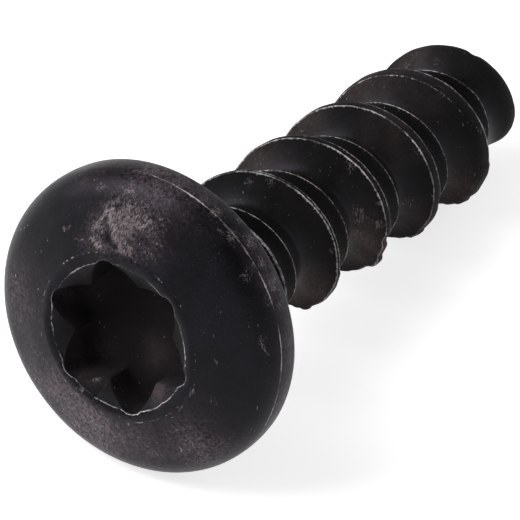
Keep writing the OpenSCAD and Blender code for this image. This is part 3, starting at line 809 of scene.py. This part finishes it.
for spots, where in ((rubs_and_sheens + rim_rubs, outside_recess * off_lip), (recess_reflections, in_recess)):
    for x, y, z_at, spread, strength in spots:
        far = np.linalg.norm(points / mm - (x, y, z_at), axis=1)
        rubbed_and_sheen_grey = np.maximum(rubbed_and_sheen_grey, where * strength * np.exp(-(far / spread) ** 2))
scuffed *= (1 - pitted) * (1 - lip_cover * on_lip * outside_recess)
rubbed_and_sheen_grey *= 1 - pitted
for name, values in (("scuff", scuffed), ("pooled", pooled), ("rubbed_and_sheen", rubbed_and_sheen_grey)):
    mesh.attributes.new(name, "FLOAT", "POINT").data.foreach_set("value", values)

# The screw lies as it would come to rest: its rim and one crest of the high thread touch the floor,
# so its axis dips towards the tip. That crest is five turns after the first.
turns_to_last = 5
last_crest = sizes["First crest"] + turns_to_last * sizes["Lead"]
reach = (last_crest + rim_c[1], rim_c[0] - sizes["Thread radius"])
dip = math.atan2(reach[1], reach[0]) + math.asin(rim_bulge_r / math.hypot(*reach))
lift = rim_c[0] * math.cos(dip) - rim_c[1] * math.sin(dip) + rim_bulge_r
head_reach = head_h * math.cos(dip) + land_r * math.sin(dip)
tip_reach = length * math.cos(dip) + sizes["End radius"] * math.sin(dip)
laid = math.pi / 2 + dip
placed = np.stack([
    (head_reach - tip_reach) / 2 + points[:, 0] * math.cos(laid) + points[:, 2] * math.sin(laid),
    points[:, 1],
    lift - points[:, 0] * math.sin(laid) + points[:, 2] * math.cos(laid)], axis=1)
mesh.vertices.foreach_set("co", placed.ravel())
mesh.polygons.foreach_set("use_smooth", [True] * len(mesh.polygons))
mesh.materials.clear()
mesh.materials.append(coating)
mesh.update()
screw = bpy.data.objects.new("screw_skin", mesh)
bpy.context.scene.collection.objects.link(screw)
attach(screw, "root")
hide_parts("screw")

# Floor: a plain sweep of matt white paper, on which the screw lies.
# It shows as an even white and keeps the screw's faint shadow.
floor_half = 1.0
floor_glow = 0.72
floor_mesh = bpy.data.meshes.new("floor")
floor_mesh.from_pydata(
    [(-floor_half, -floor_half, 0), (floor_half, -floor_half, 0), (floor_half, floor_half, 0),
     (-floor_half, floor_half, 0)], [], [(0, 1, 2, 3)])
floor = bpy.data.objects.new("floor", floor_mesh)
bpy.context.scene.collection.objects.link(floor)
sweep = bpy.data.materials.new("white_studio_sweep")
sweep.use_nodes = True
tree = sweep.node_tree
paper = tree.nodes["Principled BSDF"]
paper.inputs["Base Color"].default_value = linear("#d0d0d0")
paper.inputs["Roughness"].default_value = 0.9
paper.inputs["Specular IOR Level"].default_value = 0.0
ray = add_node(tree, "ShaderNodeLightPath")
seen = add_node(tree, "ShaderNodeMath", {
    0: ray.outputs["Is Camera Ray"], 1: ray.outputs["Is Glossy Ray"]}, operation="MAXIMUM")
shown = add_node(tree, "ShaderNodeMath", {
    0: seen, 1: ray.outputs["Is Transmission Ray"]}, operation="MAXIMUM")
glow = add_node(tree, "ShaderNodeMath", {0: shown, 1: floor_glow}, operation="MULTIPLY")
white = add_node(tree, "ShaderNodeEmission", {"Color": linear("#ffffff"), "Strength": glow})
both = add_node(tree, "ShaderNodeAddShader", {0: paper, 1: white})
tree.links.new(both.outputs[0], tree.nodes["Material Output"].inputs["Surface"])
floor_mesh.materials.append(sweep)

# Light: a dim room with pale walls, which only the coat's gloss sees, and four soft boxes:
# a large one at the head's left, a small one in front, and two weak ones that lift the shadows.
room_level = 0.25
ceiling_level = 0.1
walls_full_to = 0.1
walls_end = 0.45
world = bpy.data.worlds.new("studio_room")
bpy.context.scene.world = world
world.use_nodes = True
tree = world.node_tree
room = tree.nodes["Background"]
upward = add_node(tree, "ShaderNodeSeparateXYZ", {
    0: add_node(tree, "ShaderNodeTexCoord").outputs["Generated"]})
walls = add_node(tree, "ShaderNodeMapRange", {
    "Value": upward.outputs["Z"], "From Min": walls_full_to, "From Max": walls_end,
    "To Min": 1.0, "To Max": ceiling_level})
ray = add_node(tree, "ShaderNodeLightPath")
seen = add_node(tree, "ShaderNodeMath", {
    0: ray.outputs["Is Camera Ray"], 1: ray.outputs["Is Glossy Ray"]}, operation="MAXIMUM")
shown = add_node(tree, "ShaderNodeMath", {
    0: seen, 1: ray.outputs["Is Transmission Ray"]}, operation="MAXIMUM")
room_light = add_node(tree, "ShaderNodeMix", {
    "Factor": shown, "A": room_level, "B": walls}, data_type="FLOAT")
tree.links.new(room_light.outputs[0], room.inputs["Strength"])
room.inputs["Color"].default_value = linear("#ffffff")
middle = Vector((0.0, 0.0, 0.004))
for name, where, side, watts in (
        ("left_soft_box", (-0.25, 0.42, 0.42), 0.5, 2.75),
        ("front_panel", (-0.15, 0.15, 0.3), 0.2, 0.5),
        ("right_soft_box", (0.2, -0.5, 0.3), 0.35, 0.35),
        ("back_soft_box", (0.5, -0.05, 0.3), 0.35, 0.2)):
    lamp = bpy.data.lights.new(name, "AREA")
    lamp.size = side
    lamp.energy = watts
    box = bpy.data.objects.new(name, lamp)
    box.location = where
    box.rotation_euler = (middle - box.location).to_track_quat("-Z", "Y").to_euler()
    bpy.context.scene.collection.objects.link(box)

# Camera: a long lens close by, looking down on the lying screw from the head's end,
# a little to its right.
camera_place = (-0.103328, -0.063856, 0.087298)
camera_aim = Vector((0.690366, 0.43723, -0.57639))
lens = bpy.data.cameras.new("camera")
lens.sensor_width = 36.0
lens.lens = 342.97
lens.clip_start = 0.005
lens.clip_end = 10.0
camera = bpy.data.objects.new("camera", lens)
camera.location = camera_place
camera.rotation_euler = camera_aim.to_track_quat("-Z", "Y").to_euler()
bpy.context.scene.collection.objects.link(camera)
bpy.context.scene.camera = camera
bpy.context.scene.view_settings.view_transform = "Standard"
